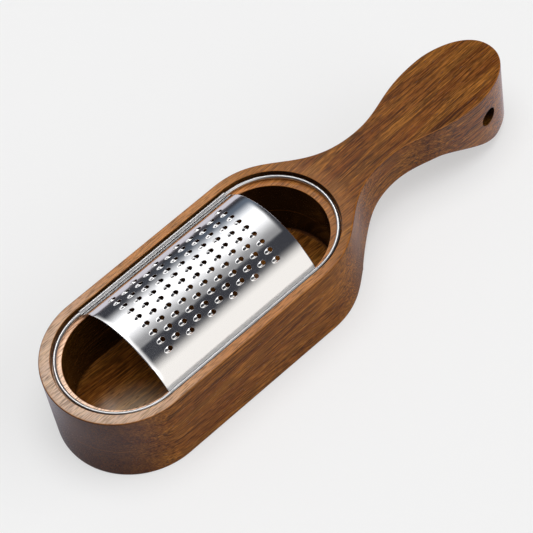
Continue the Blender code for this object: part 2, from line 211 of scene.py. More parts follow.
def drill():
    """The drill that makes the hanging hole, along Y."""
    bm = bmesh.new()
    bmesh.ops.create_cone(bm, cap_ends=True, segments=2 * round_steps, radius1=hole_radius,
                          radius2=hole_radius, depth=palm_width + 2 * cut_overrun)
    bmesh.ops.rotate(bm, verts=bm.verts, matrix=Matrix.Rotation(math.pi / 2, 3, "X"))
    bmesh.ops.translate(bm, verts=bm.verts, vec=(tip_x - hole_from_tip, 0, hole_height))
    return bm


def shown(name, bm):
    """Link a new object made from a bmesh."""
    mesh = bpy.data.meshes.new(name)
    bm.to_mesh(mesh)
    bm.free()
    piece = bpy.data.objects.new(name, mesh)
    bpy.context.scene.collection.objects.link(piece)
    return piece


speck = 0.005 * mm


def carved(name, blank, tool_shapes):
    """Cut tools out of a blank and give the result back as a bmesh."""
    piece = shown(name, blank)
    tools = [shown(f"{name}_tool_{number}", make()) for number, make in enumerate(tool_shapes)]
    for tool in tools:
        modifier = piece.modifiers.new("cut", "BOOLEAN")
        modifier.operation = "DIFFERENCE"
        modifier.object = tool
    evaluated = piece.evaluated_get(bpy.context.evaluated_depsgraph_get())
    bm = bmesh.new()
    bm.from_mesh(evaluated.to_mesh())
    evaluated.to_mesh_clear()
    for spent in tools + [piece]:
        bpy.data.objects.remove(spent, do_unlink=True)
    bmesh.ops.remove_doubles(bm, verts=bm.verts, dist=speck)
    bmesh.ops.dissolve_degenerate(bm, edges=bm.edges, dist=speck)
    return bm


# How far each kind of corner is eased, how sharp it has to be to be eased at all, how near a corner
# has to lie to what it is taken for, and the wood that a board keeps past its seam until then
rim_easing = 0.75 * mm
rabbet_easing = 0.45 * mm
ledge_easing = 0.5 * mm
side_easing = 1.1 * mm
hole_easing = 0.2 * mm
easing_steps = 4
sharp_edge = math.radians(25)
height_match = 0.02 * mm
hole_match = 0.05 * mm
scoop_match = 1.0 * mm
saw_allowance = 4.0 * mm
plane_match = 0.001 * mm


def eased(bm, width, chosen):
    """Round over the outward corners whose middle passes a test, and mark them for their painted highlight
    and shade.
    """
    edge_mark = bm.verts.layers.float.get("eased_edge") or bm.verts.layers.float.new("eased_edge")
    edges = [edge for edge in bm.edges if len(edge.link_faces) == 2
             and edge.calc_face_angle_signed(0) > sharp_edge
             and chosen((edge.verts[0].co + edge.verts[1].co) / 2)]
    rounded = bmesh.ops.bevel(bm, geom=edges, offset=width, offset_type="OFFSET", affect="EDGES",
                              segments=easing_steps, profile=0.5, clamp_overlap=False, material=-1)
    new_faces = set(rounded["faces"])
    for face in new_faces:
        for vert in face.verts:
            if all(linked in new_faces for linked in vert.link_faces):
                vert[edge_mark] = 1


def sawn(bm, height, keep_below):
    """Saw a piece flat at one height, keep one part and close the cut."""
    cut = bmesh.ops.bisect_plane(bm, geom=bm.verts[:] + bm.edges[:] + bm.faces[:], dist=plane_match,
                                 plane_co=(0, 0, height), plane_no=(0, 0, 1),
                                 clear_outer=keep_below, clear_inner=not keep_below)["geom_cut"]
    bmesh.ops.triangle_fill(bm, edges=[item for item in cut if isinstance(item, bmesh.types.BMEdge)],
                            use_beauty=True)
    bmesh.ops.recalc_face_normals(bm, faces=bm.faces)
    return bm


def near_height(height):
    """A test for corners that lie at one height."""
    return lambda place: abs(place.z - height) < height_match


def in_rabbet(place):
    """Whether a corner belongs to the milled rabbet rather than to the outline."""
    beyond = max(rabbet_near_x - place.x, place.x - rabbet_far_x, 0)
    return math.hypot(beyond, place.y) < rabbet_radius + height_match


def in_hole(place):
    """Whether a corner lies on the hanging hole."""
    away = math.hypot(place.x - (tip_x - hole_from_tip), place.z - hole_height)
    return abs(away - hole_radius) < hole_match


def on_scoop_side(place):
    """Whether a corner lies below the top and past the scoop's start, and isn't the hanging hole's."""
    past_start = place.x > scoop_start_x - scoop_match
    return past_start and place.z < board_high.z - scoop_match and not in_hole(place)


crease_angle = math.radians(38)


def finish_wood(piece_name, bm, material, node):
    """Shade, dress and place one wooden piece of the box."""
    piece = shown(piece_name, bm)
    piece.data.shade_smooth()
    piece.data.set_sharp_from_angle(angle=crease_angle)
    weighted = piece.modifiers.new("even_shading", "WEIGHTED_NORMAL")
    weighted.keep_sharp = True
    piece.data.materials.append(material)
    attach(piece, "wooden_box")
    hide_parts(node)


def link_node(tree, kind, inputs=None, **settings):
    """Add a shader node, set its options, and set or link its inputs."""
    made = tree.nodes.new(kind)
    for name, value in settings.items():
        setattr(made, name, value)
    for name, value in (inputs or {}).items():
        if isinstance(value, bpy.types.NodeSocket):
            tree.links.new(value, made.inputs[name])
        else:
            made.inputs[name].default_value = value
    return made


def math_node(tree, operation, first, second=0.0, third=0.0, clamp=False):
    """The value of one Math node."""
    made = link_node(tree, "ShaderNodeMath", {0: first, 1: second, 2: third}, operation=operation)
    made.use_clamp = clamp
    return made.outputs[0]


def mixed(tree, share, first, second):
    """The colour of one Mix node."""
    made = link_node(tree, "ShaderNodeMix", data_type="RGBA")
    for index, value in ((0, share), (6, first), (7, second)):
        if isinstance(value, bpy.types.NodeSocket):
            tree.links.new(value, made.inputs[index])
        else:
            made.inputs[index].default_value = value
    return made.outputs[2]


def remapped(tree, value, low, high, new_low=0.0, new_high=1.0):
    """A value moved smoothly from one range to another."""
    return link_node(tree, "ShaderNodeMapRange", {"Value": value, "From Min": low, "From Max": high,
                                                  "To Min": new_low, "To Max": new_high},
                     interpolation_type="SMOOTHSTEP").outputs["Result"]


def times(tree, first, second):
    """The product of two values."""
    return math_node(tree, "MULTIPLY", first, second)


def vector_node(tree, operation, first, second=(0, 0, 0), output="Vector"):
    """One output of a Vector Math node."""
    made = link_node(tree, "ShaderNodeVectorMath", {0: first, 1: second}, operation=operation)
    return made.outputs[output]


def shaded(tree, colour, level):
    """A colour made lighter or darker by a value."""
    made = link_node(tree, "ShaderNodeVectorMath", {0: colour, "Scale": level}, operation="SCALE")
    return made.outputs["Vector"]


def parts_of(tree, vector):
    """The X, Y and Z of a vector."""
    return link_node(tree, "ShaderNodeSeparateXYZ", {0: vector}).outputs


def blotches(tree, place, stretch, size, detail, roughness=0.5, output="Fac"):
    """Noise whose blotches are about one size across the grain and longer along it."""
    scaled = vector_node(tree, "MULTIPLY", place, (1 / stretch, 1, 1))
    made = link_node(tree, "ShaderNodeTexNoise", {"Vector": scaled, "Scale": 1 / size, "Detail": detail,
                                                  "Roughness": roughness})
    return made.outputs[output]


# Each figure in the wood: how far it is stretched along the grain, and its size across it
wander_figure = (6, 38 * mm)
breakup_figure = (24, 1.6 * mm)
zone_figure = (3, 21 * mm)
vein_figure = (34, 1.25 * mm)
patch_figure = (9, 7 * mm)
band_figure = (40, 1.9 * mm)
fibre_figure = (9, 0.6 * mm)
strand_figure = (60, 0.62 * mm)
wander_reach = 11 * mm
# Two kinds of pore: stretch, size, the share of their cell that is open, and how dark they are
pore_kinds = ((6, 1.3 * mm, 0.22, 1.0), (8, 0.9 * mm, 0.26, 0.7))


def late_wood(tree, place, bent, ring_width):
    """The dark late wood: broken lines where the surface cuts a ring, and thin veins, both in zones."""
    across = vector_node(tree, "MULTIPLY", bent, (0, 1, 1))
    radius = vector_node(tree, "LENGTH", across, output="Value")
    phase = math_node(tree, "DIVIDE", radius, ring_width)
    ring_share = math_node(tree, "FRACT", phase)
    ring_luck = link_node(tree, "ShaderNodeTexWhiteNoise", {"W": math_node(tree, "FLOOR", phase)},
                          noise_dimensions="1D").outputs["Value"]
    rise = remapped(tree, ring_share, 0.5, 0.86)
    fall = remapped(tree, ring_share, 0.88, 1.0, 1.0, 0.0)
    ring = times(tree, times(tree, rise, fall), remapped(tree, ring_luck, 0.2, 0.9))
    breakup = remapped(tree, blotches(tree, bent, *breakup_figure, 3), 0.36, 0.58, 0.3)
    vein = times(tree, remapped(tree, blotches(tree, bent, *vein_figure, 2, 0.4), 0.55, 0.66), 0.75)
    marks = math_node(tree, "MAXIMUM", times(tree, ring, breakup), vein)
    zone = remapped(tree, blotches(tree, place, *zone_figure, 1), 0.4, 0.6, 0.15)
    return times(tree, marks, zone)


def open_pores(tree, place):
    """The pores: short dark dashes of two kinds, not every one of them open."""
    deepest = 0.0
    for stretch, size, width_share, depth in pore_kinds:
        scaled = vector_node(tree, "MULTIPLY", place, (1 / stretch, 1, 1))
        cells = link_node(tree, "ShaderNodeTexVoronoi", {"Vector": scaled, "Scale": 1 / size}).outputs
        cell_luck = parts_of(tree, cells["Color"])["X"]
        dash = remapped(tree, cells["Distance"], width_share * 0.6, width_share, 1.0, 0.0)
        dash = times(tree, times(tree, dash, remapped(tree, cell_luck, 0.35, 0.6)), depth)
        deepest = math_node(tree, "MAXIMUM", deepest, dash)
    return deepest


def walnut_grain():
    """The walnut figure as a group: growth rings cut by the surface, streaks, fibres and pores."""
    tree = bpy.data.node_groups.new("walnut_grain", "ShaderNodeTree")
    for name, kind in (("Place", "Vector"), ("Ring Width", "Float"), ("Streaks", "Float"),
                       ("Pale", "Color"), ("Dark", "Color"), ("Late", "Color")):
        tree.interface.new_socket(name, in_out="INPUT", socket_type="NodeSocket" + kind)
    for name, kind in (("Colour", "Color"), ("Roughness", "Float"),
                       ("Height", "Float"), ("Pores", "Float")):
        tree.interface.new_socket(name, in_out="OUTPUT", socket_type="NodeSocket" + kind)
    given = tree.nodes.new("NodeGroupInput").outputs
    place = given["Place"]

    wander = blotches(tree, place, *wander_figure, 2, output="Color")
    sway = vector_node(tree, "SUBTRACT", wander, (0.5, 0.5, 0.5))
    sway = vector_node(tree, "MULTIPLY", sway, (0, wander_reach, wander_reach))
    bent = vector_node(tree, "ADD", sway, place)
    patch = remapped(tree, blotches(tree, bent, *patch_figure, 2), 0.36, 0.64)
    band = remapped(tree, blotches(tree, bent, *band_figure, 1), 0.38, 0.62)
    paleness = math_node(tree, "MULTIPLY_ADD", band, 0.4, times(tree, patch, 0.6))
    colour = mixed(tree, paleness, given["Dark"], given["Pale"])
    late = late_wood(tree, place, bent, given["Ring Width"])
    streak = math_node(tree, "MULTIPLY", late, given["Streaks"], clamp=True)
    colour = mixed(tree, streak, colour, given["Late"])

    fibre = blotches(tree, place, *fibre_figure, 1)
    strand = blotches(tree, bent, *strand_figure, 1)
    colour = shaded(tree, colour, times(tree, remapped(tree, fibre, 0.34, 0.66, 0.72, 1.28),
                                        remapped(tree, strand, 0.36, 0.64, 0.62, 1.38)))
    pore = open_pores(tree, place)
    roughness = remapped(tree, math_node(tree, "ADD", fibre, times(tree, pore, 0.5)), 0.3, 1.1, 0.15, 0.30)
    height = math_node(tree, "SUBTRACT", times(tree, fibre, 0.35), pore)
    end = tree.nodes.new("NodeGroupOutput")
    for name, value in (("Colour", colour), ("Roughness", roughness), ("Height", height), ("Pores", pore)):
        tree.links.new(value, end.inputs[name])
    return tree


def from_line(tree, spot, near_x, far_x):
    """How far a place is, seen from above, from a straight line along X between two ends."""
    beyond = math_node(tree, "MAXIMUM", math_node(tree, "SUBTRACT", near_x, spot["X"]),
                       math_node(tree, "SUBTRACT", spot["X"], far_x))
    beyond = math_node(tree, "MAXIMUM", beyond, 0.0)
    flat_place = link_node(tree, "ShaderNodeCombineXYZ", {"X": beyond, "Y": spot["Y"]}).outputs["Vector"]
    return vector_node(tree, "LENGTH", flat_place, output="Value")


# The rim and the ledge: paler where handling took the oil off, with short dark dashes, and a painted sheen
# that grows towards the near end and is brightest on the ledge
near_rim_sheen_tone = (0.64, 0.46, 0.35, 1)
far_rim_tone = (0.52, 0.21, 0.075, 1)
rim_tone_share = 0.68
pale_gains = (1.5, 2.2, 3.0)
dash_figure = (14, 0.55 * mm)
rim_fade = (rabbet_radius + 3 * mm, rabbet_radius + 12 * mm)
rim_end_fade = (rabbet_far_x - 10 * mm, rabbet_far_x + 22 * mm)
ledge_rise = (ledge_height - 2 * mm, ledge_height - 1 * mm)
ledge_sheen_fall = (ledge_height + 1 * mm, ledge_height + 2 * mm)
ledge_sheen_gain = 2.1


def rim_look(tree, pale_wood, place, spot, facing, from_axis):
    """How far a place belongs to the rim or the ledge, and the colour there: paler wood with a painted
    sheen.
    """
    near_rabbet = remapped(tree, from_axis, *rim_fade, 1.0, 0.0)
    along = remapped(tree, spot["X"], *rim_end_fade, 1.0, 0.3)
    on_top = times(tree, remapped(tree, facing["Z"], 0.8, 0.98), remapped(tree, spot["Z"], *ledge_rise))
    share = times(tree, times(tree, near_rabbet, along), on_top)
    # A painted pinkish sheen on the paler rim wood at the near end, fading towards the far end
    tone = mixed(tree, remapped(tree, spot["X"], near_centre_x - body_radius, near_centre_x + body_radius),
                 near_rim_sheen_tone, far_rim_tone)
    dashes = remapped(tree, blotches(tree, place, *dash_figure, 1), 0.37, 0.53, 0.4, 1.1)
    # A painted sheen that makes the ledge brighter still
    ledge_sheen = remapped(tree, spot["Z"], *ledge_sheen_fall, ledge_sheen_gain, 1.0)
    tone = shaded(tree, tone, times(tree, dashes, ledge_sheen))
    return share, mixed(tree, rim_tone_share, pale_wood, tone)


# The milled walls and the drilled hole, in painted shade because little light reaches them
unlit_gains = (0.38, 0.42, 0.45)
deep_shade_tone = (0.006, 0.002, 0.001, 1)
deep_rise = (near_centre_x - 20 * mm, near_centre_x + 25 * mm)
rabbet_fade = (rabbet_radius, rabbet_radius + 1 * mm)
hollow_fade = (hollow_radius, hollow_radius + 1 * mm)
hole_fade = (hole_radius + 0.05 * mm, hole_radius + 0.3 * mm)


def cut_look(tree, colour, spot, facing, from_axis):
    """The walls that the mill and the drill left, in painted shade: dark, and darkest far down the hollow.
    """
    wall = remapped(tree, facing["Z"], 0.3, 0.7, 1.0, 0.0)
    in_mill = times(tree, remapped(tree, from_axis, *rabbet_fade, 1.0, 0.0), wall)
    hole_place = link_node(tree, "ShaderNodeCombineXYZ", {
        "X": math_node(tree, "SUBTRACT", spot["X"], tip_x - hole_from_tip),
        "Y": math_node(tree, "SUBTRACT", spot["Z"], hole_height)}).outputs["Vector"]
    from_hole = vector_node(tree, "LENGTH", hole_place, output="Value")
    in_drill = remapped(tree, from_hole, *hole_fade, 1.0, 0.0)
    unlit = vector_node(tree, "MULTIPLY", colour, unlit_gains)
    colour = mixed(tree, math_node(tree, "MAXIMUM", in_mill, in_drill), colour, unlit)
    deep = times(tree, remapped(tree, spot["X"], *deep_rise), times(tree, wall, 0.7))
    deep = times(tree, deep, remapped(tree, from_axis, *hollow_fade, 1.0, 0.0))
    return mixed(tree, deep, colour, deep_shade_tone)


# The hollow's floor, with a painted sheen of light at its near end
floor_sheen_centre = (near_centre_x - 12 * mm, -15 * mm, floor_thickness)
floor_sheen_fade = (3 * mm, 33 * mm)
floor_sheen_tone = (0.95, 0.74, 0.54, 1)


def floor_sheen_look(tree, colour, pale_wood, place, facing):
    """The painted sheen laid over the floor's colour."""
    away = vector_node(tree, "DISTANCE", place, floor_sheen_centre, "Value")
    sheen_share = times(tree, remapped(tree, away, *floor_sheen_fade, 0.85, 0.0),
                    remapped(tree, facing["Z"], 0.5, 0.9))
    return mixed(tree, sheen_share, colour, mixed(tree, 0.5, pale_wood, floor_sheen_tone))


# The seam: a dark glue line, and a paler band on the lower board just under it
glue_tone = (0.018, 0.008, 0.005, 1)
seam_band_tone = (0.24, 0.085, 0.018, 1)
glue_fade = (0.05 * mm, 0.32 * mm)
seam_band_rise = (0.2 * mm, 0.5 * mm)
seam_band_fall = (0.6 * mm, 1.3 * mm)


def seam_look(tree, colour, spot):
    """The two lines of the seam laid over the colour."""
    below_seam = math_node(tree, "SUBTRACT", seam_height, spot["Z"])
    seam_band = times(tree, remapped(tree, below_seam, *seam_band_rise, 0.0, 0.4),
                   remapped(tree, below_seam, *seam_band_fall, 1.0, 0.0))
    glue = remapped(tree, math_node(tree, "ABSOLUTE", below_seam), *glue_fade, 0.6, 0.0)
    return mixed(tree, glue, mixed(tree, seam_band, colour, seam_band_tone), glue_tone)


# The eased corners: a painted highlight where they face up, painted shade where they face sideways or down
edge_highlight_tone = (0.36, 0.13, 0.022, 1)
edge_shade_tone = (0.025, 0.007, 0.003, 1)


def edge_light_look(tree, colour, facing):
    """The painted highlight and shade of the eased corners laid over the colour."""
    eased_edge_share = link_node(tree, "ShaderNodeAttribute", attribute_name="eased_edge").outputs["Fac"]
    edge_highlight = times(tree, eased_edge_share, remapped(tree, facing["Z"], 0.55, 0.8, 0.0, 0.5))
    edge_shade = times(tree, eased_edge_share, remapped(tree, facing["Z"], 0.35, 0.6, 0.6, 0.0))
    return mixed(tree, edge_shade, mixed(tree, edge_highlight, colour, edge_highlight_tone), edge_shade_tone)


# Dark end grain, with painted shade where it faces the near end
end_grain_and_shade_tone = (0.030, 0.011, 0.008, 1)
pore_tone = (0.040, 0.014, 0.005, 1)
rim_pore_tone = (0.13, 0.055, 0.025, 1)
pore_relief = 0.025 * mm
oil_index = 1.34


def walnut(name, grain, pith, turn, ring_width, streaks, pale, dark, late):
    """Oiled walnut for one board: its own figure, dark end grain, what tools and use did to it, and
    painted light: shade on the near end and in the milled walls, sheen on the rim, the ledge and the
    hollow's floor, and highlight and shade on the eased corners.
    """
    made = bpy.data.materials.new(name)
    made.use_nodes = True
    tree = made.node_tree
    shader = tree.nodes["Principled BSDF"]
    place = link_node(tree, "ShaderNodeTexCoord").outputs["Object"]
    moved = link_node(tree, "ShaderNodeMapping", {"Vector": place, "Location": pith, "Rotation": turn},
                      vector_type="POINT")
    figure = link_node(tree, "ShaderNodeGroup", node_tree=grain)
    tree.links.new(moved.outputs["Vector"], figure.inputs["Place"])
    for socket, value in (("Ring Width", ring_width), ("Streaks", streaks),
                          ("Pale", pale), ("Dark", dark), ("Late", late)):
        figure.inputs[socket].default_value = value

    normal = link_node(tree, "ShaderNodeNewGeometry").outputs["True Normal"]
    facing = parts_of(tree, normal)
    spot = parts_of(tree, place)
    from_axis = from_line(tree, spot, rabbet_near_x, rabbet_far_x)
    # Dark end grain, and painted shade on the near end: faces towards -X, away from the light, darken more
    # than faces towards +X
    end_grain_and_shade = math_node(tree, "MAXIMUM", remapped(tree, facing["X"], -0.1, -0.85, 0.0, 0.78),
                          remapped(tree, facing["X"], 0.6, 1.0, 0.0, 0.3))
    colour = mixed(tree, end_grain_and_shade, figure.outputs["Colour"], end_grain_and_shade_tone)
    pale_wood = vector_node(tree, "MULTIPLY", colour, pale_gains)
    rim_share, rim_colour = rim_look(tree, pale_wood, place, spot, facing, from_axis)
    colour = mixed(tree, rim_share, colour, rim_colour)
    colour = cut_look(tree, colour, spot, facing, from_axis)
    colour = floor_sheen_look(tree, colour, pale_wood, place, facing)
    colour = seam_look(tree, colour, spot)
    colour = mixed(tree, times(tree, figure.outputs["Pores"], 0.7), colour,
                   mixed(tree, rim_share, pore_tone, rim_pore_tone))
    colour = edge_light_look(tree, colour, facing)

    bump = link_node(tree, "ShaderNodeBump", {"Height": figure.outputs["Height"], "Strength": 0.4,
                                              "Distance": pore_relief})
    tree.links.new(colour, shader.inputs["Base Color"])
    tree.links.new(figure.outputs["Roughness"], shader.inputs["Roughness"])
    tree.links.new(bump.outputs["Normal"], shader.inputs["Normal"])
    shader.inputs["IOR"].default_value = oil_index
    return made


grain = walnut_grain()
upper_walnut = walnut("upper_walnut", grain, (0.02, -0.030, 0.055), (0.0, 0.035, -0.02), 2.3 * mm, 0.95,
                      (0.222, 0.082, 0.012, 1), (0.126, 0.036, 0.005, 1), (0.036, 0.011, 0.002, 1))

bm = carved("upper_board_wood", board_blank(half_outline(), seam_height - saw_allowance, board_high.z),
            (milling_cutter, scoop_cutter, drill))
eased(bm, rim_easing, lambda place: near_height(board_high.z)(place) and not in_rabbet(place))
eased(bm, rabbet_easing, lambda place: near_height(board_high.z)(place) and in_rabbet(place))
eased(bm, ledge_easing, near_height(ledge_height))
eased(bm, side_easing, on_scoop_side)
eased(bm, hole_easing, in_hole)
bm = sawn(bm, seam_height + seam_hairline, False)
finish_wood("upper_board_wood", bm, upper_walnut, "upper_board")

# Base board. The lower walnut board closes the hollow from below and runs out under the neck,
# where the finger scoop cuts it to a feather edge. It is glued to the upper board all round.


def parted(half, cut_x):
    """The near and the far part of the sawn outline, sawn off square at one place along X."""
    index = next(number for number, point in enumerate(half) if point.x > cut_x)
    before, after = half[index - 1], half[index]
    corner = before.lerp(after, (cut_x - before.x) / (after.x - before.x))
    middle = Vector((cut_x, 0))
    return half[:index] + [corner, middle], [middle, corner] + half[index:]


base_easing = 0.8 * mm
near_half, far_half = parted(half_outline(), scoop_peak_x)
lower_walnut = walnut("lower_walnut", grain, (-0.05, 0.022, 0.078), (0.0, -0.05, 0.03), 3.1 * mm, 0.8,
                      (0.222, 0.084, 0.014, 1), (0.130, 0.040, 0.007, 1), (0.040, 0.013, 0.003, 1))

bm = carved("base_board_wood", board_blank(near_half, base_low.z, seam_height + saw_allowance),
            (milling_cutter, scoop_cutter))
eased(bm, base_easing, near_height(base_low.z))
eased(bm, side_easing, lambda place: on_scoop_side(place) and place.z > base_easing)
bm = sawn(bm, seam_height - seam_hairline, True)
finish_wood("base_board_wood", bm, lower_walnut, "base_board")

# Handle heel. The same lower board comes back under the palm as a short stub, glued on, which
# gives the hand its grip and the handle its height.
heel_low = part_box("handle_heel")[0]

bm = carved("handle_heel_wood", board_blank(far_half, heel_low.z, seam_height + saw_allowance),
            (scoop_cutter,))
eased(bm, side_easing, lambda place: place.z < seam_height + saw_allowance / 2)
bm = sawn(bm, seam_height - seam_hairline, True)
finish_wood("handle_heel_wood", bm, lower_walnut, "handle_heel")

# Wire loop. One length of round stainless wire, bent to a long loop and butt welded, that lies
# in the rabbet and carries the grating plate.
wire_low, wire_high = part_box("wire_loop")
wire_radius = (wire_high.z - wire_low.z) / 2
wire_height = (wire_high.z + wire_low.z) / 2
loop_radius = wire_high.y - wire_radius
wire_sides = 20
bend_steps = 72


def bent_wire():
    """The wire, swept from a round section: along each straight side and round each bend."""
    bm = bmesh.new()
    section = bmesh.ops.create_circle(bm, segments=wire_sides, radius=wire_radius)["verts"]
    bmesh.ops.rotate(bm, verts=section, matrix=Matrix.Rotation(math.pi / 2, 3, "Y"))
    bmesh.ops.translate(bm, verts=section, vec=(rabbet_near_x, loop_radius, wire_height))
    front = list(bm.edges)
    for centre_x, other_x in ((rabbet_near_x, rabbet_far_x), (rabbet_far_x, rabbet_near_x)):
        turned = bmesh.ops.spin(bm, geom=front, cent=(centre_x, 0, wire_height), axis=(0, 0, 1),
                                angle=math.pi, steps=bend_steps)["geom_last"]
        front = [item for item in turned if isinstance(item, bmesh.types.BMEdge)]
        drawn = bmesh.ops.extrude_edge_only(bm, edges=front)["geom"]
        front = [item for item in drawn if isinstance(item, bmesh.types.BMEdge)
                 and all(vert in drawn for vert in item.verts)]
        ends = {vert for edge in front for vert in edge.verts}
        bmesh.ops.translate(bm, verts=list(ends), vec=(other_x - centre_x, 0, 0))
    bmesh.ops.remove_doubles(bm, verts=bm.verts, dist=speck)
    bmesh.ops.recalc_face_normals(bm, faces=bm.faces)
    return bm


drawn_roughness = 0.3
drawn_streak = 0.3 * mm
streak_stretch = 18
smudge_figure = (1.5, 7 * mm)
bend_fade = 1 * mm
steel_relief = 0.002 * mm


def steel(name, colour, roughness, streak_size, bent_from):
    """Stainless steel with faint streaks along X. It is as dull as drawn wire past a distance from the
    middle, where it was bent."""
    made = bpy.data.materials.new(name)
    made.use_nodes = True
    tree = made.node_tree
    shader = tree.nodes["Principled BSDF"]
    shader.inputs["Metallic"].default_value = 1.0
    shader.inputs["Base Color"].default_value = colour
    place = link_node(tree, "ShaderNodeTexCoord").outputs["Object"]
    rolled = blotches(tree, place, streak_stretch, streak_size, 3)
    smudge = blotches(tree, place, *smudge_figure, 2)
    away = math_node(tree, "ABSOLUTE", parts_of(tree, place)["Y"])
    level = remapped(tree, away, bent_from - bend_fade, bent_from, roughness, drawn_roughness)
    rough = math_node(tree, "MULTIPLY_ADD", math_node(tree, "ADD", rolled, smudge), 0.05, level)
    bump = link_node(tree, "ShaderNodeBump", {"Height": rolled, "Strength": 0.1, "Distance": steel_relief})
    tree.links.new(rough, shader.inputs["Roughness"])
    tree.links.new(bump.outputs["Normal"], shader.inputs["Normal"])
    return made


wire = shown("wire_loop_steel", bent_wire())
wire.data.shade_smooth()
wire.data.materials.append(steel("drawn_steel", (0.80, 0.80, 0.80, 1), drawn_roughness, drawn_streak, 0))
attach(wire, "grater_insert")
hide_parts("wire_loop")

# Grater plate. A sheet of bright stainless steel, pierced with rows of small holes, each with a
# ridge raised behind it as its tooth. The sheet is bent to an arch and hemmed round the wire.
plate_low, plate_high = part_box("grater_plate")
sheet_thickness = 0.4 * mm
hem_gap = 0.2 * mm
hem_inner_radius = wire_radius + hem_gap
arch_rise = 19.4 * mm
arch_radius = arch_rise ** 2 + loop_radius ** 2 - hem_inner_radius ** 2
arch_radius /= 2 * (hem_inner_radius + arch_rise)
arch_centre_z = wire_height + arch_rise - arch_radius
arch_half_angle = math.asin(loop_radius / (arch_radius + hem_inner_radius))
hem_turn = math.radians(242)
hem_steps = 40
foot_steps = 12

tooth_hole_radius = 1.45 * mm
tail_reach = 3.6 * mm
front_reach = 0.4 * mm
mound_half_width = 1.62 * mm
mound_height = 0.87 * mm
crest_behind = 1.1 * mm
crown_share = 0.3
easing_share = 0.16
tail_power = 1.45
front_power = 1.3
flank_power = 2.2
front_land = 0.5 * mm
apron_width = 0.35 * mm
end_rounding = 0.5 * mm
end_drop = 0.12 * mm
column_pitch = 7.8 * mm
row_pitch = 3.08 * mm
columns_each_side = 5
rows_each_side = 8
side_count = 32
ring_count = 10
strip_steps = 3
bright_roughness = 0.04
rolled_streak = 0.5 * mm


def slope_profile(share):
    """A flank from its crest at 0 to its foot at 1: straight, with both ends rounded."""
    share = min(max(share, 0), 1)
    steepness = 1 / (1 - easing_share)
    if share < easing_share:
        return 1 - steepness * share ** 2 / (2 * easing_share)
    if share < 1 - easing_share:
        return 1 - steepness * (share - easing_share / 2)
    return steepness * (1 - share) ** 2 / (2 * easing_share)


def mound_lift(ahead, across):
    """Height of a tooth over the flat sheet: its ridge rises from the tail to a crest behind the hole's
    centre, and falls away in front."""
    back, front = max(-ahead, 0) / tail_reach, max(ahead, 0) / front_reach
    width = mound_half_width * math.sqrt(max(1 - back ** flank_power - front ** 2, 0))
    if width == 0:
        return 0
    fall = max(ahead + crest_behind, 0) / (front_reach + crest_behind)
    ridge = mound_height * (1 - back ** tail_power) * (1 - fall ** front_power)
    crown = crown_share * (1 + back)
    return ridge * slope_profile((abs(across) / width - crown) / (1 - crown))


def tooth_cell(bm, centre_x, row):
    """One tooth in its own cell of the flat sheet, two rows high and one column long."""
    near = (tooth_hole_radius + front_land - tail_reach - column_pitch) / 2
    far = near + column_pitch
    quarter = side_count // 4
    border, apron, foot, lip = [], [], [], []
    for step in range(side_count):
        side, share = divmod(step + quarter // 2, quarter)
        share /= quarter
        across = row_pitch * (2 * share - 1)
        along = far + (near - far) * share
        sides = ((far, across), (along, row_pitch), (near, -across), (far + near - along, -row_pitch))
        border.append(sides[side % 4])
        angle = 2 * math.pi * step / side_count
        ahead, across = math.cos(angle), math.sin(angle)
        front = tooth_hole_radius + front_land
        reach = front * ahead if ahead > 0 else -tail_reach * abs(ahead) ** (2 / flank_power)
        foot.append((reach, mound_half_width * across))
        apron.append((reach + apron_width * ahead, (mound_half_width + apron_width) * across))
        lip.append((tooth_hole_radius * ahead, tooth_hole_radius * across))
    rings = [border, apron]
    for step in range(ring_count + 1):
        share = step / ring_count
        rings.append([(a[0] * (1 - share) + b[0] * share, a[1] * (1 - share) + b[1] * share)
                      for a, b in zip(foot, lip)])
    made = []
    for number, ring in enumerate(rings):
        lift = mound_lift if number > 2 else lambda ahead, across: 0
        made.append([bm.verts.new((centre_x + ahead, row * row_pitch + across, lift(ahead, across)))
                     for ahead, across in ring])
    for outer, inner in zip(made, made[1:]):
        for side in range(side_count):
            following = (side + 1) % side_count
            bm.faces.new((outer[side], outer[following], inner[following], inner[side]))


def plain_grid(bm, low_x, high_x, low_row, high_row, x_steps):
    """A plain stretch of the flat sheet, in squares that match the teeth's cells."""
    middle = Vector(((low_x + high_x) / 2, (low_row + high_row) / 2 * row_pitch, 0))
    stretch = Matrix.Diagonal((high_x - low_x, (high_row - low_row) * row_pitch, 1, 1))
    bmesh.ops.create_grid(bm, x_segments=x_steps, y_segments=(high_row - low_row) * side_count // 8,
                          size=0.5, matrix=Matrix.Translation(middle) @ stretch)


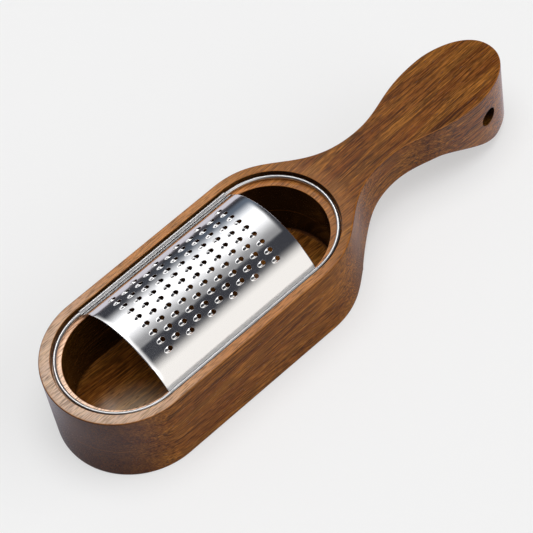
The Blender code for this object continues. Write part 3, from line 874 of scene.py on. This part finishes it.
def hemmed_plate():
    """The pierced flat sheet, bent to the arch, with its feet rolled round the wire."""
    bm = bmesh.new()
    middle_x = (plate_low.x + plate_high.x) / 2
    near_border = middle_x - (columns_each_side + 0.5) * column_pitch
    near_border += (tooth_hole_radius + front_land - tail_reach) / 2
    far_border = near_border + (2 * columns_each_side + 1) * column_pitch
    top_row = rows_each_side + 1
    shift = (columns_each_side + rows_each_side) % 2
    for column in range(-columns_each_side, columns_each_side + 1):
        left = near_border + (column + columns_each_side) * column_pitch
        for row in range(-rows_each_side, rows_each_side + 1):
            if (column + row + shift) % 2 == 0:
                tooth_cell(bm, middle_x + column * column_pitch, row)
        if (column + rows_each_side + shift) % 2:
            for low_row in (-top_row, rows_each_side):
                plain_grid(bm, left, left + column_pitch, low_row, low_row + 1, side_count // 4)
    plain_grid(bm, plate_low.x, near_border, -top_row, top_row, strip_steps)
    plain_grid(bm, far_border, plate_high.x, -top_row, top_row, strip_steps)
    bmesh.ops.remove_doubles(bm, verts=bm.verts, dist=height_match)
    for end_x, inward in ((plate_low.x, 1), (plate_high.x, -1)):
        for reach in (end_rounding / 2, end_rounding):
            bmesh.ops.bisect_plane(bm, geom=bm.verts[:] + bm.edges[:] + bm.faces[:], dist=plane_match,
                                   plane_co=(end_x + inward * reach, 0, 0), plane_no=(1, 0, 0))
    for vert in bm.verts:
        from_end = min(vert.co.x - plate_low.x, plate_high.x - vert.co.x)
        if from_end < end_rounding:
            vert.co.z -= end_drop * (1 - from_end / end_rounding) ** 2

    for vert in bm.verts:
        angle = vert.co.y / arch_radius
        reach = arch_radius + vert.co.z
        vert.co = (vert.co.x, reach * math.sin(angle), arch_centre_z + reach * math.cos(angle))
    pattern_angle = top_row * row_pitch / arch_radius
    edge_y = arch_radius * math.sin(pattern_angle)
    for side in (-1, 1):
        front = [edge for edge in bm.edges
                 if all(abs(vert.co.y - side * edge_y) < height_match for vert in edge.verts)]
        foot_turn = -side * (arch_half_angle - pattern_angle)
        for centre, turn, steps in (((0, 0, arch_centre_z), foot_turn, foot_steps),
                                    ((0, side * loop_radius, wire_height), side * hem_turn, hem_steps)):
            rolled = bmesh.ops.spin(bm, geom=front, cent=centre, axis=(1, 0, 0), angle=turn, steps=steps)
            front = [item for item in rolled["geom_last"] if isinstance(item, bmesh.types.BMEdge)]
    bmesh.ops.recalc_face_normals(bm, faces=bm.faces)
    return bm


plate_crease_angle = math.radians(60)
plate = shown("grater_plate_steel", hemmed_plate())
sheet = plate.modifiers.new("sheet", "SOLIDIFY")
sheet.thickness = sheet_thickness
sheet.offset = -1
sheet.use_even_offset = True
plate.data.shade_smooth()
plate.data.set_sharp_from_angle(angle=plate_crease_angle)
hem_start = loop_radius - 2 * hem_inner_radius
plate.data.materials.append(steel("bright_sheet_steel", (0.86, 0.855, 0.85, 1), bright_roughness,
                                  rolled_streak, hem_start))
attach(plate, "grater_insert")
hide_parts("grater_plate")

# Studio. A pale floor in a dark room. Shiny surfaces see a warm lamp before a bright panel on the +Y
# side, a long soft strip overhead and a broad cream reflector low on the -Y side. Matt surfaces are
# lit by three soft lamps that no shiny surface sees.
floor_reach = 6.0
floor_gap = 0.02 * mm
floor_level = base_low.z - floor_gap
pale = (0.88, 0.88, 0.88, 1)
mirrored_pale = (0.68, 0.66, 0.73, 1)
mirrored_grey = (0.33, 0.28, 0.27, 1)
mirrored_dark = (0.10, 0.09, 0.10, 1)
shadow_share = 0.47
lit_reach = 0.45
dark_reach = 0.9
contact_reach = 24 * mm
contact_share = 0.7


def mirrored_floor(tree, spot):
    """The floor as shiny surfaces see it, a glow though it is no lamp: grey beside the box, paler past its
    ends, in painted shadow close to it and dark far away on the +Y side."""
    fade = remapped(tree, spot["Y"], lit_reach, dark_reach)
    past_near_end = remapped(tree, spot["X"], board_low.x, near_centre_x, 0.7, 0.0)
    past_neck = remapped(tree, spot["X"], neck_x, palm_x)
    past_side = remapped(tree, spot["Y"], -body_radius, body_radius)
    past_end = math_node(tree, "MAXIMUM", past_near_end, past_neck)
    open_floor = math_node(tree, "MAXIMUM", past_side, past_end)
    tone = mixed(tree, open_floor, mirrored_grey, mirrored_pale)
    # Painted shadow: the glowing floor darkens close to the box
    in_shadow = remapped(tree, from_line(tree, spot, near_centre_x, shoulder_x), body_radius,
                         body_radius + contact_reach, contact_share, 0.0)
    return mixed(tree, fade, mixed(tree, in_shadow, tone, mirrored_dark), mirrored_dark)


def floor_material():
    """Matt pale floor, on which the camera sees the shadows softened."""
    made = bpy.data.materials.new("floor_paint")
    made.use_nodes = True
    tree = made.node_tree
    tree.nodes.clear()
    rays = link_node(tree, "ShaderNodeLightPath").outputs
    mirrored = math_node(tree, "MAXIMUM", rays["Is Glossy Ray"], rays["Is Transmission Ray"])
    place = link_node(tree, "ShaderNodeTexCoord").outputs["Object"]
    spot = parts_of(tree, place)
    lit = link_node(tree, "ShaderNodeBsdfDiffuse", {"Color": pale})
    glow = link_node(tree, "ShaderNodeEmission", {"Color": pale, "Strength": 1.0})
    mirror_glow = link_node(tree, "ShaderNodeEmission", {"Color": mirrored_floor(tree, spot)})
    glow_share = times(tree, rays["Is Camera Ray"], 1 - shadow_share)
    seen = link_node(tree, "ShaderNodeMixShader", {0: glow_share, 1: lit.outputs[0], 2: glow.outputs[0]})
    either = link_node(tree, "ShaderNodeMixShader", {0: mirrored, 1: seen.outputs[0],
                                                     2: mirror_glow.outputs[0]})
    link_node(tree, "ShaderNodeOutputMaterial", {"Surface": either.outputs[0]})
    made.cycles.emission_sampling = "NONE"
    return made


bm = bmesh.new()
bmesh.ops.create_grid(bm, x_segments=1, y_segments=1, size=floor_reach)
bmesh.ops.translate(bm, verts=bm.verts, vec=(0, 0, floor_level))
floor = shown("studio_floor", bm)
floor.data.materials.append(floor_material())


def window(tree, value, rise_start, rise_end, fall_start, fall_end):
    """1 inside a range and 0 outside it, with a soft step at each end."""
    return times(tree, remapped(tree, value, rise_start, rise_end),
                 remapped(tree, value, fall_start, fall_end, 1.0, 0.0))


# What shiny surfaces see: each light's colour, its soft range sideways, as the X of a direction, and its
# soft range turned round X, in degrees from the +Y horizon at 0 over the top at 90 to the -Y horizon
room_colour = (0.048, 0.050, 0.060)
warm_lamp = ((4.2, 3.8, 3.5), (0.12, 0.17, 0.238, 0.256), (46, 54, 62, 70))
bright_panel = ((1.20, 1.21, 1.23), (-0.12, 0.02, 0.34, 0.40), (16, 46, 56, 94))
panel_top = ((0.28, 0.28, 0.28), (-0.12, 0.02, 0.34, 0.40), (30, 60, 96, 101))
side_panel = ((0.85, 0.85, 0.85), (-0.42, -0.30, -0.12, 0.02), (-12, -2, 34, 56))
blue_wall = ((0.08, 0.11, 0.15), (0.27, 0.33, 0.60, 0.75), (2, 14, 26, 50))
long_strip = ((0.90, 0.90, 0.90), (-0.14, -0.02, 0.16, 0.24), (-12, -2, 140, 160))
cream_reflector = ((0.99, 0.955, 0.91), (-0.60, -0.40, 0.60, 0.90), (120, 144, 181, 182))


def studio_world():
    """The studio as shiny surfaces see it, and a plain backdrop for the camera."""
    made = bpy.data.worlds.new("studio")
    made.use_nodes = True
    tree = made.node_tree
    tree.nodes.clear()
    direction = link_node(tree, "ShaderNodeTexCoord").outputs["Generated"]
    parts = parts_of(tree, direction)
    turned = math_node(tree, "DEGREES", math_node(tree, "ARCTAN2", parts["Z"], parts["Y"]))
    room = room_colour
    for colour, sideways_range, turned_range in (warm_lamp, bright_panel, panel_top, side_panel, blue_wall,
                                                 long_strip, cream_reflector):
        light = times(tree, window(tree, parts["X"], *sideways_range), window(tree, turned, *turned_range))
        room = vector_node(tree, "ADD", room, shaded(tree, colour, light))
    studio = link_node(tree, "ShaderNodeBackground", {"Color": room, "Strength": 1.0})
    backdrop = link_node(tree, "ShaderNodeBackground", {"Color": pale, "Strength": 1.0})
    rays = link_node(tree, "ShaderNodeLightPath").outputs
    chosen = link_node(tree, "ShaderNodeMixShader", {0: rays["Is Camera Ray"], 1: studio.outputs[0],
                                                     2: backdrop.outputs[0]})
    link_node(tree, "ShaderNodeOutputWorld", {"Surface": chosen.outputs[0]})
    return made


world = studio_world()
bpy.context.scene.world = world
world.cycles_visibility.diffuse = False

# Soft lamps for the matt surfaces: one straight above, one low on one side and a dome of sky. Each has a
# level, and in degrees its spread and how far it is tipped about X and about Y.
for name, level, spread, tipped_x, tipped_y in (("overhead_light", 0.60, 48, 3, 0),
                                                ("low_light", 0.56, 70, 48.6, 65),
                                                ("sky_light", 0.26, 170, 0, 0)):
    lamp_data = bpy.data.lights.new(name, "SUN")
    lamp_data.energy = level * math.pi
    lamp_data.angle = math.radians(spread)
    lamp = bpy.data.objects.new(name, lamp_data)
    lamp.rotation_euler = (math.radians(tipped_x), math.radians(tipped_y), 0)
    lamp.visible_glossy = False
    bpy.context.scene.collection.objects.link(lamp)

# Camera, at the photograph's viewing angle
camera_data = bpy.data.cameras.new("camera")
camera_data.sensor_width = 36.0
camera_data.lens = 174.98
camera_data.shift_x = 0.01515
camera_data.shift_y = 0.00135
camera_data.clip_start = 0.05
camera = bpy.data.objects.new("camera", camera_data)
camera_aim = Vector((-0.0221, -0.0007, 0.030))
camera_distance = 1.4309
camera_azimuth = math.radians(-32.78)
camera_elevation = math.radians(54.44)
camera_roll = math.radians(-12.26)
forward = Vector((-math.sin(camera_azimuth) * math.cos(camera_elevation),
                  math.cos(camera_azimuth) * math.cos(camera_elevation), -math.sin(camera_elevation)))
camera.location = camera_aim - camera_distance * forward
upright = forward.to_track_quat("-Z", "Y").to_matrix()
camera.rotation_euler = (upright @ Matrix.Rotation(camera_roll, 3, "Z")).to_euler()
bpy.context.scene.collection.objects.link(camera)
bpy.context.scene.camera = camera
bpy.context.scene.view_settings.view_transform = "Standard"
